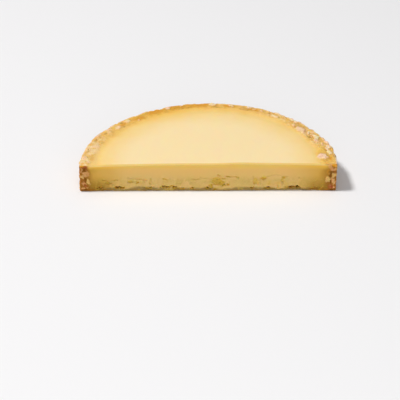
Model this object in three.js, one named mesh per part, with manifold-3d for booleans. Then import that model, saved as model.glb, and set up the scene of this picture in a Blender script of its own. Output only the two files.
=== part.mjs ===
// Half of a round slab of pressed cheese: a tall wheel sliced level into a slab, then cut across its middle.
// Millimetres, +Z up. The cut face looks along -Y, and the slab lies on its flat underside.
import * as THREE from "three";
import { mergeVertices } from "three/addons/utils/BufferGeometryUtils.js";
import Module from "manifold-3d";

// Driving dimensions
const WHEEL_DIAMETER = 380;
const SLAB_HEIGHT = 44.5; // at the rind
const TOP_DOME = 2.2; // the sliced top stands this much higher at the wheel's axis
const RIND_THICKNESS = 13;
const RADIUS = WHEEL_DIAMETER / 2;
const PASTE_RADIUS = RADIUS - RIND_THICKNESS;

// The rind: a dry crust with lumps, nearly straight down the side, with a worn foot and a crisp sliced edge
const SIDE_BULGE = 0.6;
const FOOT_RADIUS = 2.4;
const TOP_EDGE_RADIUS = 1.0;
const RIND_LUMP = 0.45; // height of the lumps on the side
const RIM_LUMP = 0.35; // height of the lumps where the knife went through the crust
const RIM_DIP = 0.5; // the dried band just inside the rind has sunk by this much
const DRIED_BAND = 16; // width of that band

// The cut across the middle: a pulled wire leaves it a little wavy, and the curd breaks out along its foot
const CUT_WAVE = 0.3;
const CURD_RELIEF = 0.5; // the cut is rougher by this much in its lower part
const CURD_HEIGHT = { all: 14, none: 24 }; // where that roughness is full, and where it has died out
const CUT_MARGIN = 14; // how far the cutter reaches past the slab on every side
const WAVE_LENGTHS = { shortest: 40, longest: 110 };
const LUMP_LENGTHS = { shortest: 14, longest: 40 };

// Places where curd has broken out of the cut face: distance along the cut from the wheel's axis,
// height of the middle above the underside, and the gap's width, height and depth.
const CURD_GAPS = [
  { along: 1, above: 0.5, width: 11, height: 6, depth: 5 },
  { along: 15, above: 16, width: 15, height: 8, depth: 4 },
  { along: 34, above: 24, width: 16, height: 2.6, depth: 3 },
  { along: 64, above: 0.5, width: 8, height: 5, depth: 5 },
  { along: 68, above: 14, width: 5, height: 14, depth: 3 },
  { along: 81, above: 21, width: 9, height: 3.4, depth: 3 },
  { along: 88, above: 0.5, width: 15, height: 5, depth: 6 },
  { along: 111, above: 17, width: 4.5, height: 13, depth: 3 },
  { along: 125, above: 0.5, width: 18, height: 6, depth: 7 },
  { along: 161, above: 0, width: 15, height: 3.6, depth: 5 },
];

// The other half of the cut breaks in the same way, at places drawn once
const FAR_GAP_COUNT = 11;
const FAR_GAP_SPAN = { from: -172, to: -12 };
const FOOT_GAP = { width: [8, 19], height: [4, 7], depth: [4, 7], above: [0.5, 0.5] };
const FACE_GAP = { width: [4, 15], height: [3, 11], depth: [2, 4], above: [12, 24] };

// Crumbs that have left the rim where the slab was sliced
const RIM_CHIP_COUNT = 15;
const RIM_CHIP = { width: [7, 15], height: [1.6, 3.2], depth: [3, 7], inset: [0, 10] };

// Pieces that have come away together at each gap or chip
const SHARDS_PER_GAP = 2;
const SHARD_SIZE = [0.55, 0.85]; // of a shard, as a share of its gap
const SHARD_ROUGHNESS = 0.3; // unevenness of a shard's corners, as a share of its size
const PLACE_SPREAD = [0.2, 0.8]; // where a gap or chip may fall within its share of the length

// Fineness of the facets
const TURN_STEPS = 148; // around the full wheel
const SIDE_STEPS = 7;
const CORNER_STEPS = 3;
const DOME_STATIONS = [0.7, 0.4, 0]; // rings on the domed top, as shares of the radius
const CUT_STEP = 7;
const WAVE_COUNT = 9;
const SEED = 20417;
const TINY = 0.01;
const MERGE_DISTANCE = 1e-3;

// A repeatable stream of numbers from 0 to 1
function makeDraw(seed) {
  const multiplier = 1664525;
  const increment = 1013904223;
  const modulus = 2 ** 32;
  let state = seed;
  return () => {
    state = (state * multiplier + increment) % modulus;
    return state / modulus;
  };
}
const draw = makeDraw(SEED);
const drawBetween = ([low, high]) => low + (high - low) * draw();

// Smooth unevenness in space, from about -1 to 1: plane waves whose directions and phases are drawn once
function makeUnevenness({ shortest, longest }) {
  const waves = Array.from({ length: WAVE_COUNT }, () => ({
    direction: new THREE.Vector3().setFromSphericalCoords(
      (2 * Math.PI) / drawBetween([shortest, longest]),
      Math.acos(2 * draw() - 1),
      2 * Math.PI * draw(),
    ),
    phase: 2 * Math.PI * draw(),
  }));
  const swing = (point) => (sum, wave) => sum + Math.sin(point.dot(wave.direction) + wave.phase);
  return (point) => waves.reduce(swing(point), 0) / Math.sqrt(WAVE_COUNT);
}
const lumps = makeUnevenness(LUMP_LENGTHS);
const waviness = makeUnevenness(WAVE_LENGTHS);

const wasm = await Module();
wasm.setup();

function toSolid(geometry) {
  const bare = geometry.clone();
  bare.deleteAttribute("normal");
  bare.deleteAttribute("uv");
  const merged = mergeVertices(bare, MERGE_DISTANCE);
  return new wasm.Manifold(
    new wasm.Mesh({
      numProp: 3,
      vertProperties: new Float32Array(merged.attributes.position.array),
      triVerts: new Uint32Array(merged.index.array),
    }),
  );
}

function toGeometry(solid) {
  const mesh = solid.getMesh();
  const geometry = new THREE.BufferGeometry();
  geometry.setAttribute("position", new THREE.BufferAttribute(mesh.vertProperties, 3));
  geometry.setIndex(new THREE.BufferAttribute(mesh.triVerts, 1));
  geometry.computeVertexNormals();
  return geometry;
}

// Moves every vertex by what the function gives for its place
function displace(geometry, offsetAt) {
  const places = geometry.attributes.position;
  const point = new THREE.Vector3();
  for (let i = 0; i < places.count; i++) {
    point.fromBufferAttribute(places, i);
    point.add(offsetAt(point.clone()));
    places.setXYZ(i, point.x, point.y, point.z);
  }
  return geometry;
}

// Height of the sliced top at a distance from the axis: domed, with the dried band sunk just inside the rind
function topHeight(radius) {
  const intoBand = THREE.MathUtils.clamp((PASTE_RADIUS - radius) / DRIED_BAND, 0, 1);
  const dip = RIM_DIP * Math.sin(Math.PI * intoBand) ** 2;
  return SLAB_HEIGHT + TOP_DOME * (1 - (radius / RADIUS) ** 2) - dip;
}

// A quarter turn of a rounded corner, from an angle in the section
function roundCorner(centre, radius, fromAngle) {
  return Array.from({ length: CORNER_STEPS + 1 }, (_, i) => {
    const angle = fromAngle + (i / CORNER_STEPS) * (Math.PI / 2);
    return new THREE.Vector2(Math.cos(angle), Math.sin(angle)).multiplyScalar(radius).add(centre);
  });
}

// Half of the wheel's section, from the axis along the underside, up the rind and back over the top
function slabProfile() {
  const sideRadius = RADIUS - SIDE_BULGE;
  const low = FOOT_RADIUS;
  const high = SLAB_HEIGHT - TOP_EDGE_RADIUS;
  const side = Array.from({ length: SIDE_STEPS - 1 }, (_, i) => {
    const share = (i + 1) / SIDE_STEPS;
    const bulge = SIDE_BULGE * Math.sin(Math.PI * share);
    return new THREE.Vector2(sideRadius + bulge, THREE.MathUtils.lerp(low, high, share));
  });
  const rimStations = [PASTE_RADIUS + RIND_THICKNESS / 2, PASTE_RADIUS];
  const bandStations = [PASTE_RADIUS - DRIED_BAND / 2, PASTE_RADIUS - DRIED_BAND];
  const domeStations = DOME_STATIONS.map((share) => share * RADIUS);
  const top = [...rimStations, ...bandStations, ...domeStations];
  return [
    new THREE.Vector2(0, 0),
    new THREE.Vector2(PASTE_RADIUS, 0),
    ...roundCorner(new THREE.Vector2(sideRadius - FOOT_RADIUS, low), FOOT_RADIUS, -Math.PI / 2),
    ...side,
    ...roundCorner(new THREE.Vector2(sideRadius - TOP_EDGE_RADIUS, high), TOP_EDGE_RADIUS, 0),
    ...top.map((radius) => new THREE.Vector2(radius, topHeight(radius))),
  ];
}

// The whole slab, with its crust lumpy on the side and on the sliced rim, and its underside left flat
function makeSlab() {
  const geometry = new THREE.LatheGeometry(slabProfile(), TURN_STEPS);
  geometry.rotateX(Math.PI / 2);
  return displace(geometry, (point) => {
    const radius = Math.hypot(point.x, point.y);
    const offset = new THREE.Vector3();
    if (radius < PASTE_RADIUS + TINY || point.z < TINY) return offset;
    const lump = lumps(point);
    if (radius > RADIUS - FOOT_RADIUS - SIDE_BULGE) {
      offset.set(point.x, point.y, 0).normalize().multiplyScalar(RIND_LUMP * lump);
    }
    if (point.z > SLAB_HEIGHT - TINY) offset.z += RIM_LUMP * lump;
    return offset;
  });
}

// What the wire takes away: all in front of the axis, behind a slightly wavy face that is rougher low down
function makeCutter() {
  const width = WHEEL_DIAMETER + 2 * CUT_MARGIN;
  const depth = RADIUS + CUT_MARGIN;
  const height = SLAB_HEIGHT + TOP_DOME + 2 * CUT_MARGIN;
  const columns = Math.round(width / CUT_STEP);
  const rows = Math.round(height / CUT_STEP);
  const geometry = new THREE.BoxGeometry(width, depth, height, columns, 1, rows);
  geometry.translate(0, -depth / 2, height / 2 - CUT_MARGIN);
  return displace(geometry, (point) => {
    if (point.y < -TINY) return new THREE.Vector3();
    const curd = 1 - THREE.MathUtils.smoothstep(point.z, CURD_HEIGHT.all, CURD_HEIGHT.none);
    return new THREE.Vector3(0, CUT_WAVE * waviness(point) + CURD_RELIEF * curd * lumps(point), 0);
  });
}

// One angular piece of missing curd or crust: a rough block, turned at random
function makeShard() {
  const geometry = new THREE.IcosahedronGeometry(1, 0);
  const seedPlace = new THREE.Vector3(draw(), draw(), draw()).multiplyScalar(WHEEL_DIAMETER);
  displace(geometry, (point) => {
    const place = point.clone().multiplyScalar(LUMP_LENGTHS.longest).add(seedPlace);
    return point.clone().multiplyScalar(SHARD_ROUGHNESS * lumps(place));
  });
  return geometry.rotateX(Math.PI * draw()).rotateZ(Math.PI * draw());
}

// The pieces that leave a gap of a given size, side by side along X, about the middle of the gap's mouth
function makeGapShards({ width, height, depth }) {
  return Array.from({ length: SHARDS_PER_GAP }, (_, i) => {
    const size = drawBetween(SHARD_SIZE);
    const shift = ((i + 0.5) / SHARDS_PER_GAP - 0.5) * (1 - size / 2);
    return makeShard()
      .scale((size * width) / 2, size * depth, (size * height) / 2)
      .translate(shift * width, 0, (draw() - 0.5) * height * (1 - size));
  });
}

const drawGapSize = ({ width, height, depth }) => ({
  width: drawBetween(width),
  height: drawBetween(height),
  depth: drawBetween(depth),
});

// The gaps of the half that the list doesn't cover, by turns at the foot of the cut and higher on its face
function drawFarGaps() {
  const step = (FAR_GAP_SPAN.to - FAR_GAP_SPAN.from) / FAR_GAP_COUNT;
  return Array.from({ length: FAR_GAP_COUNT }, (_, i) => {
    const kind = i % 2 ? FACE_GAP : FOOT_GAP;
    const along = FAR_GAP_SPAN.from + step * (i + drawBetween(PLACE_SPREAD));
    return { along, above: drawBetween(kind.above), ...drawGapSize(kind) };
  });
}

function breakOutCurd(solid) {
  let left = solid;
  for (const gap of [...CURD_GAPS, ...drawFarGaps()]) {
    for (const shard of makeGapShards(gap)) {
      left = left.subtract(toSolid(shard.translate(gap.along, 0, gap.above)));
    }
  }
  return left;
}

function chipRim(solid) {
  let left = solid;
  for (let i = 0; i < RIM_CHIP_COUNT; i++) {
    const angle = (Math.PI * (i + drawBetween(PLACE_SPREAD))) / RIM_CHIP_COUNT;
    const reach = RADIUS - drawBetween(RIM_CHIP.inset);
    for (const shard of makeGapShards(drawGapSize(RIM_CHIP))) {
      shard.rotateZ(angle - Math.PI / 2);
      shard.translate(reach * Math.cos(angle), reach * Math.sin(angle), topHeight(reach) + RIM_LUMP);
      left = left.subtract(toSolid(shard));
    }
  }
  return left;
}

// Crumbs that the gaps have cut quite free fall away
function dropLooseCrumbs(solid) {
  const larger = (one, other) => (other.volume() > one.volume() ? other : one);
  return solid.decompose().reduce(larger);
}

// The half wheel, moved so that the middle of its underside's box is the origin
function makeHalfWheel() {
  const half = toSolid(makeSlab()).subtract(toSolid(makeCutter()));
  const geometry = toGeometry(dropLooseCrumbs(chipRim(breakOutCurd(half))));
  geometry.computeBoundingBox();
  const { min, max } = geometry.boundingBox;
  const cheese = new THREE.MeshStandardMaterial({ color: 0xf3d08a, roughness: 0.55, metalness: 0 });
  const mesh = new THREE.Mesh(geometry, cheese);
  mesh.name = "half_wheel";
  mesh.position.set(-(min.x + max.x) / 2, -(min.y + max.y) / 2, -min.z);
  return mesh;
}

const part = new THREE.Group();
part.add(makeHalfWheel());

export default part;
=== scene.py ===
import math
import random

import bmesh
import bpy
import numpy as np
from mathutils import Euler, Matrix, Quaternion, Vector, noise


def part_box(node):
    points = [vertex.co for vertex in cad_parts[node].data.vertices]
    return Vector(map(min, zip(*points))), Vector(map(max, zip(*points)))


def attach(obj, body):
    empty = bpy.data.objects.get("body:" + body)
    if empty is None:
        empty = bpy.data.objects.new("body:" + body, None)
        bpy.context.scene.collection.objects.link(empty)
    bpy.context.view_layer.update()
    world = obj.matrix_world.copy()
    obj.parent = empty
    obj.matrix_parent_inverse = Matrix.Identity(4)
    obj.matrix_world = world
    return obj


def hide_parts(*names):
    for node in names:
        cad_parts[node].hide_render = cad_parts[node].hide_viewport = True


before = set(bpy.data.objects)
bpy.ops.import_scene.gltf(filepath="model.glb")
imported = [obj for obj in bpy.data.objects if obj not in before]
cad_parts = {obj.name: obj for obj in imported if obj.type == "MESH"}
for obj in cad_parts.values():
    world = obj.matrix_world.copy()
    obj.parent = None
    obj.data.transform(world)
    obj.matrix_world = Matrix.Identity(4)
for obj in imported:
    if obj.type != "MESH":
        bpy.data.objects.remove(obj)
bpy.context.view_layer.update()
scene = bpy.context.scene
mm = 0.001
noiseSeed = 5
noise.seed_set(noiseSeed)  # without this the cells would be bent differently in each run

# the slab as the frame gives it: half a disc whose axis stands in the middle of the cut
lowCorner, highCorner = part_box("half_wheel")
wheelRadius = (highCorner.x - lowCorner.x) / 2
axisX = (lowCorner.x + highCorner.x) / 2
axisY = highCorner.y - wheelRadius
slabHeight = highCorner.z
print("frame loaded, wheel radius", round(wheelRadius / mm, 1), "mm")


# small helpers for shapes

def easeStep(start, end, values):
    share = np.clip((values - start) / (end - start), 0, 1)
    return share * share * (3 - 2 * share)


def byDegrees(turn, steps):
    # a value that changes round the arc, from a list of degrees and values
    return np.interp(turn, *zip(*steps))


def fractalAt(points, size, octaves, seed):
    # uneven numbers of about -1 to 1, with blobs of about the given size
    shift = Vector((seed, -0.7 * seed, 0.3 * seed))
    falloff, finer = 1.0, 2.0  # of each further octave
    return np.array([noise.fractal(Vector(p) / size + shift, falloff, finer, octaves) for p in points])


def cellsAt(points, size, warp, seed):
    # the two cells nearest to each point: how far off their middles are, in cells, and where those lie
    shift = Vector((seed, 0.4 * seed, -seed))
    warpScale = 1.7
    reaches, middles = [], []
    for p in points:
        place = Vector(p) / size + shift
        place += warp * noise.noise_vector(place * warpScale)
        near, centres = noise.voronoi(place)
        reaches.append(near[:2])
        middles.append([(centre - shift) * size for centre in centres[:2]])
    return np.array(reaches), np.array(middles)


def ownNumbers(middles):
    # a number of 0 to 1 for each cell
    perMetre = 9700  # so fine that no two cells share one
    return np.array([0.5 + 0.5 * noise.cell(Vector(spot) * perMetre) for spot in middles])


def nearLine(along, above, corners):
    # how far each spot of the cut is from a line through a few corners
    best = np.full(len(along), np.inf)
    for (x, z), (endX, endZ) in zip(corners, corners[1:]):
        runX, runZ = endX - x, endZ - z
        share = np.clip(((along - x) * runX + (above - z) * runZ) / (runX ** 2 + runZ ** 2), 0, 1)
        best = np.minimum(best, np.hypot(along - x - share * runX, above - z - share * runZ))
    return best


def objectFrom(bm, name):
    mesh = bpy.data.meshes.new(name)
    bm.to_mesh(mesh)
    bm.free()
    piece = bpy.data.objects.new(name, mesh)
    scene.collection.objects.link(piece)
    return piece


def applyModifiers(piece):
    done = piece.evaluated_get(bpy.context.evaluated_depsgraph_get())
    mesh = bpy.data.meshes.new_from_object(done)
    old = piece.data
    piece.modifiers.clear()
    piece.data = mesh
    mesh.name = piece.name
    bpy.data.meshes.remove(old)


# the half wheel

halfWheel = {
    "dome": 2.2 * mm,  # the sliced top is this much higher at the wheel's axis
    "tilt": 0.9 * mm,  # and this much higher at one end of the cut, lower at the other
    "lumpRoom": 0.1 * mm,  # the smooth body lies this far inside the frame's outline
    "footRound": 2.4 * mm,
    "rimRound": 1.0 * mm,
    "cutRound": 3.2 * mm,
    "cutFootRound": 0.7 * mm,
    "roundSteps": 4,
    "bandStart": 14 * mm,  # in from the rim, where the paste has sunk a little in drying
    "bandWidth": 22 * mm,
    "bandDip": 0.6 * mm,
    "edgeWaves": [(48, 24, 0.8), (4, 22, -0.4)],  # of the top along the cut: mm along, their spread, mm up
    "waveBack": 30 * mm,  # how far behind the cut they die away
    # the wheel isn't quite round: degrees, their spread, mm out
    "bulges": [(154, 18, 3.0), (178, 12, 0.8), (13, 8, 1.8), (0, 5, -1.2)],
    "bulgePower": 6,  # how fast they die away towards the axis
    "sides": 360,  # of the full disc
    "voxel": 0.75 * mm,
    "smoothing": 3,  # rounds of it after the remesh
    "mostTriangles": 192000,
}
bodyRadius = wheelRadius - halfWheel["lumpRoom"]
rimHeight = slabHeight - halfWheel["dome"]


def topAt(x, radial):
    # how high the sliced top is: domed, and sliced a little out of level
    dome = halfWheel["dome"] * (1 - (radial / bodyRadius) ** 2)
    return rimHeight + dome + halfWheel["tilt"] * x / bodyRadius


def makeBody():
    shape = halfWheel
    bm = bmesh.new()
    middle = Matrix.Translation((axisX, axisY, rimHeight / 2))
    halfStep = Matrix.Rotation(math.pi / shape["sides"], 4, "Z")  # so that no corner lies in the cut
    bmesh.ops.create_cone(bm, cap_ends=True, segments=shape["sides"], radius1=bodyRadius,
                          radius2=bodyRadius, depth=rimHeight, matrix=middle @ halfStep)
    everything = bm.verts[:] + bm.edges[:] + bm.faces[:]
    bmesh.ops.bisect_plane(bm, geom=everything, plane_co=(axisX, axisY, 0), plane_no=(0, 1, 0),
                           clear_inner=True)
    bmesh.ops.holes_fill(bm, edges=[e for e in bm.edges if e.is_boundary])
    bmesh.ops.recalc_face_normals(bm, faces=bm.faces)

    touching = 0.01 * mm

    def middleOf(edge):
        return (edge.verts[0].co + edge.verts[1].co) / 2

    def onArc(edge, height):
        at = middleOf(edge)
        reach = math.hypot(at.x - axisX, at.y - axisY)
        return abs(at.z - height) < touching and reach > 0.99 * bodyRadius

    def onCut(edge):
        return all(abs(v.co.y - axisY) < touching for v in edge.verts)

    def atFoot(edge):
        return all(v.co.z < touching for v in edge.verts)

    for width, chosen in (
        (shape["footRound"], lambda e: onArc(e, 0)),
        (shape["rimRound"], lambda e: onArc(e, rimHeight)),
        (shape["cutFootRound"], lambda e: onCut(e) and atFoot(e)),
        (shape["cutRound"], lambda e: onCut(e) and middleOf(e).z > shape["cutRound"]),
    ):
        bmesh.ops.bevel(bm, geom=[e for e in bm.edges if chosen(e)], offset=width, offset_type="OFFSET",
                        affect="EDGES", segments=shape["roundSteps"], profile=0.5, material=-1)

    body = objectFrom(bm, "half_wheel_cheese")
    remesh = body.modifiers.new("even grid", "REMESH")
    remesh.mode = "VOXEL"
    remesh.voxel_size = shape["voxel"]
    smooth = body.modifiers.new("soften steps", "SMOOTH")
    smooth.factor = 0.5
    smooth.iterations = shape["smoothing"]
    applyModifiers(body)
    return body


# the cut face, in mm: along the cut from the wheel's axis, and above the underside
curd = {
    "gaps": [  # along, above, width, height, depth
        (-3.2, 5, 8, 3.6, 4.7),
        (3, 4.6, 7, 3, 2.9),
        (1.5, 9, 7, 4.4, 2),
        (9, 2.4, 6, 1.8, 2.6),
        (11.5, 16, 17, 10, 2.3),
        (18.5, 13.5, 12, 7, 2.4),
        (22, 9, 6, 2.6, 3.3),
        (27.5, 9.8, 3.4, 2.6, 2.9),
        (63.5, 5, 7, 3, 5),
        (69.5, 16, 6, 13, 1.4),
        (73, 12, 4, 9, 1.3),
        (80.5, 21, 11, 4.4, 2.2),
        (88, 4.4, 9, 2.8, 4.6),
        (109.5, 16, 4.5, 12, 1.5),
        (111.5, 21.5, 6, 3, 2.1),
        (123, 5, 12, 3.2, 6.4),
        (130.5, 5, 9, 3.2, 6.8),
        (134, 21, 2.6, 2.6, 1.3),
        (157, 4, 18, 2.6, 2.6),
    ],
    "gapEdge": (1.2, 0.65),  # from outside to full depth, as a share of the gap
    "cracks": [  # corners, width, depth
        ([(-13, 23), (-6, 21.5), (4, 20.8), (13, 21), (24, 20.5)], 2, 1.9),
        ([(7, 11.5), (15, 10), (24, 10.5)], 1.6, 3),
        ([(83, 4.4), (95, 4)], 1.6, 3.4),
        ([(114, 5), (121, 6), (128, 6), (135, 5.4)], 2, 6.4),
        ([(14, 26), (18, 25)], 2.4, 1.8),
        ([(27, 24), (32, 23.3), (40, 23.8), (43, 20.5)], 2, 2.2),
        ([(67, 24), (66.5, 12)], 1.8, 1.6),
        ([(76, 20), (77, 11)], 1.6, 1.2),
        ([(88, 25), (98, 27.2), (108, 25.5)], 1.6, 1),
        ([(101.5, 10), (101.8, 4.5)], 1.5, 1.6),
        ([(109, 22.5), (112, 24), (117, 24)], 2.2, 1.8),
    ],
    "crackEdge": (0.8, -0.6),
    "opening": (0.8, 0.5, 0.2),  # of a crack, as a share of its width: usual, how varied, least
    "outline": (1.6, 1.12),  # mm along and up, how uneven all these outlines are
    "crumbs": (4 * mm, 0.6, 29.0),  # of the broken curd: size, how bent, seed
    "crumbSeam": 0.3,
    "crumbHeight": 1.5 * mm,
    "crumbStart": (0.3 * mm, 1.5 * mm),  # how deep a gap is where they show
    "crumbGroove": 0.5 * mm,  # between them
    "grooveStart": (0.6 * mm, 2 * mm),
    "snap": 0.55,  # how far the gaps' outlines follow whole crumbs
    "blocks": (17 * mm, 0.5, 11.0),  # of pressed curd: size, how bent, seed
    "blockSeam": 0.2,
    "blockHeight": 0.8 * mm,
    "creaseShade": 0.22,  # between blocks
    "creaseFrom": (-0.1, 0.3),
    "blockTint": 0.8,  # how much single blocks and crumbs differ in colour
    "crumbTint": 0.7,
    "top": (16 * mm, 27 * mm),  # the curd shows below the first, and not above the second
    "topUneven": 3 * mm,
    "grain": 0.22 * mm,
    "wave": 0.3 * mm,
    "noises": {  # size, octaves, seed
        "along": (7 * mm, 5, 3.0),
        "up": (7 * mm, 5, 17.0),
        "opening": (7 * mm, 2, 41.0),
        "top": (22 * mm, 2, 5.0),
        "grain": (5 * mm, 4, 8.0),
        "wave": (60 * mm, 2, 2.0),
        "crease": (24 * mm, 2, 77.0),
    },
    "reachBack": 14 * mm,  # how far behind the cut its neighbours give way
    "deepest": 6 * mm,
}

# the rest of the cut, where the places are drawn once
farCurd = {
    "reach": (-172, -14),
    "gaps": 10,
    "gapPlace": (0.1, 0.9),  # within an even share of the reach
    "faceShare": 0.45,  # of the gaps, the others are at the foot
    "faceGap": {"above": (13, 20), "width": (5, 16), "height": (4, 11), "depth": (1.5, 2.4)},
    "footGap": {"above": (4, 6.5), "width": (5, 17), "height": (2.4, 3.6), "depth": (3.2, 5)},
    "beside": (0, 1, 1, 2),  # how many smaller gaps there are next to one
    "besideAlong": (0.45, 0.8),  # as shares of its size
    "besideUp": (-0.3, 0.9),
    "besideSize": 0.6,
    "cracks": 8,
    "crackPlace": (0.2, 0.8),
    "crackStart": (12, 25),
    "steepShare": 0.4,  # of the cracks
    "steepRun": {"along": (-2, 3), "down": (4, 8)},
    "levelRun": {"along": (4, 10), "down": (-1.5, 2)},
    "runs": (1, 2, 2, 3),
    "crackWidth": (1.3, 2.1),
    "crackDepth": (1.2, 2.3),
    "seed": 61,
}

# the lowest edge of the cut: a darker brown band of painted shade where it meets the floor, set a little
# back
foot = {
    "height": 6 * mm,
    "uneven": 4 * mm,
    "soft": 2.4 * mm,
    "least": 1 * mm,
    "back": 0.7 * mm,
    "noise": (24 * mm, 4, 9.0),  # size, octaves, seed
    "stretch": (1, 0, 0.5),
    "line": [  # mm along, how much higher the painted shade reaches there, how much further back the edge lies
        (-24, 0, 0), (-8, -1.5, 0), (16, -2.6, 0), (28, -1, 0), (40, 1.6, 0), (66, 1.6, 0), (82, 0, 0),
        (92, -3, 0.6), (102, -4, 1), (112, -1, 1.2), (140, 0, 1.2), (154, 0, 0),
    ],
}


def drawFarCurd():
    far = farCurd
    draw = random.Random(far["seed"])
    gaps, cracks = [], []
    first, last = far["reach"]
    for i in range(far["gaps"]):
        kind = far["faceGap"] if draw.random() < far["faceShare"] else far["footGap"]
        along = first + (last - first) * (i + draw.uniform(*far["gapPlace"])) / far["gaps"]
        above, width, height, deep = (draw.uniform(*kind[k]) for k in ("above", "width", "height", "depth"))
        gaps.append((along, above, width, height, deep))
        share = far["besideSize"]
        for j in range(draw.choice(far["beside"])):
            besideX = along + draw.choice((-1, 1)) * width * draw.uniform(*far["besideAlong"])
            besideZ = above + draw.uniform(*far["besideUp"]) * height
            gaps.append((besideX, besideZ, width * share, height * share, deep * share))
    for i in range(far["cracks"]):
        x = first + (last - first) * (i + draw.uniform(*far["crackPlace"])) / far["cracks"]
        z = draw.uniform(*far["crackStart"])
        corners = [(x, z)]
        run = far["steepRun"] if draw.random() < far["steepShare"] else far["levelRun"]
        for step in range(draw.choice(far["runs"])):
            x += draw.uniform(*run["along"])
            z -= draw.uniform(*run["down"])
            corners.append((x, z))
        cracks.append((corners, draw.uniform(*far["crackWidth"]), draw.uniform(*far["crackDepth"])))
    return gaps, cracks


def gapDepth(along, above, gaps):
    depth = np.zeros(len(along))
    for x, z, width, height, deep in gaps:
        reach = np.hypot((along - x) / (width / 2), (above - z) / (height / 2))
        depth = np.maximum(depth, deep * mm * easeStep(*curd["gapEdge"], reach))
    return depth


def shapeCut(points, place):
    # how far each point near the cut gives way, and the looks that follow from that
    rough = {name: fractalAt(place, *setting) for name, setting in curd["noises"].items()}
    raggedX, raggedZ = curd["outline"]
    along = points[:, 0] / mm + raggedX * rough["along"]
    above = points[:, 2] / mm + raggedZ * rough["up"]
    farGaps, farCracks = drawFarCurd()

    # the gaps are where whole crumbs have come away
    reaches, middles = cellsAt(place, *curd["crumbs"])
    inCrumb = easeStep(0, curd["crumbSeam"], reaches[:, 1] - reaches[:, 0])
    crumbNumbers = [ownNumbers(middles[:, i]) for i in (0, 1)]
    depths = []
    for i, numbers in enumerate(crumbNumbers):
        spotX = along + curd["snap"] * (middles[:, i, 0] / mm - along)
        spotZ = above + curd["snap"] * (middles[:, i, 2] / mm - above)
        deep = gapDepth(spotX, spotZ, curd["gaps"] + farGaps)
        crumb = curd["crumbHeight"] * (numbers - 0.5) * easeStep(*curd["crumbStart"], deep)
        depths.append(deep + crumb)
    depth = depths[1] + (depths[0] - depths[1]) * (0.5 + 0.5 * inCrumb)
    depth += curd["crumbGroove"] * (1 - inCrumb) * easeStep(*curd["grooveStart"], depth)

    usual, varied, least = curd["opening"]
    opening = usual + varied * rough["opening"]
    for corners, width, deep in curd["cracks"] + farCracks:
        gap = nearLine(along, above, corners) - 0.5 * width * opening
        crack = deep * mm * easeStep(*curd["crackEdge"], gap) * np.clip(opening, least, 1)
        depth = np.maximum(depth, crack)
    depth = np.maximum(depth, 0)
    # the deeper a gap, the more painted shade its colour gets
    hollowShade = np.clip(depth / curd["deepest"], 0, 1)

    # the curds that were pressed together here show as blocks
    low = 1 - easeStep(*curd["top"], points[:, 2] + curd["topUneven"] * rough["top"])
    reaches, middles = cellsAt(place, *curd["blocks"])
    inBlock = easeStep(0, curd["blockSeam"], reaches[:, 1] - reaches[:, 0])
    blockNumber = ownNumbers(middles[:, 0])
    blocks = curd["blockHeight"] * (2 * blockNumber - 1) * inBlock
    depth += low * (blocks + curd["grain"] * rough["grain"]) + curd["wave"] * rough["wave"]
    # painted shade in the creases between blocks
    crease = (1 - inBlock) * low * easeStep(*curd["creaseFrom"], rough["crease"])
    hollowShade = np.maximum(hollowShade, curd["creaseShade"] * crease)
    pale = 0.5 + curd["blockTint"] * (blockNumber - 0.5) * inBlock
    pale += curd["crumbTint"] * (crumbNumbers[0] - 0.5) * inCrumb

    # the band along the foot that gets painted shade and is set a little back
    lineX, higher, further = zip(*foot["line"])
    footTop = foot["height"] + foot["uneven"] * fractalAt(place * foot["stretch"], *foot["noise"])
    footTop = np.maximum(footTop + mm * np.interp(along, lineX, higher), foot["least"])
    footShadeBand = easeStep(foot["soft"], -foot["soft"], points[:, 2] - footTop)
    depth += (foot["back"] + mm * np.interp(along, lineX, further)) * footShadeBand
    return depth, {"hollowShade": hollowShade, "curd": low, "curdPale": np.clip(pale, 0, 1), "foot": footShadeBand}


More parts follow.
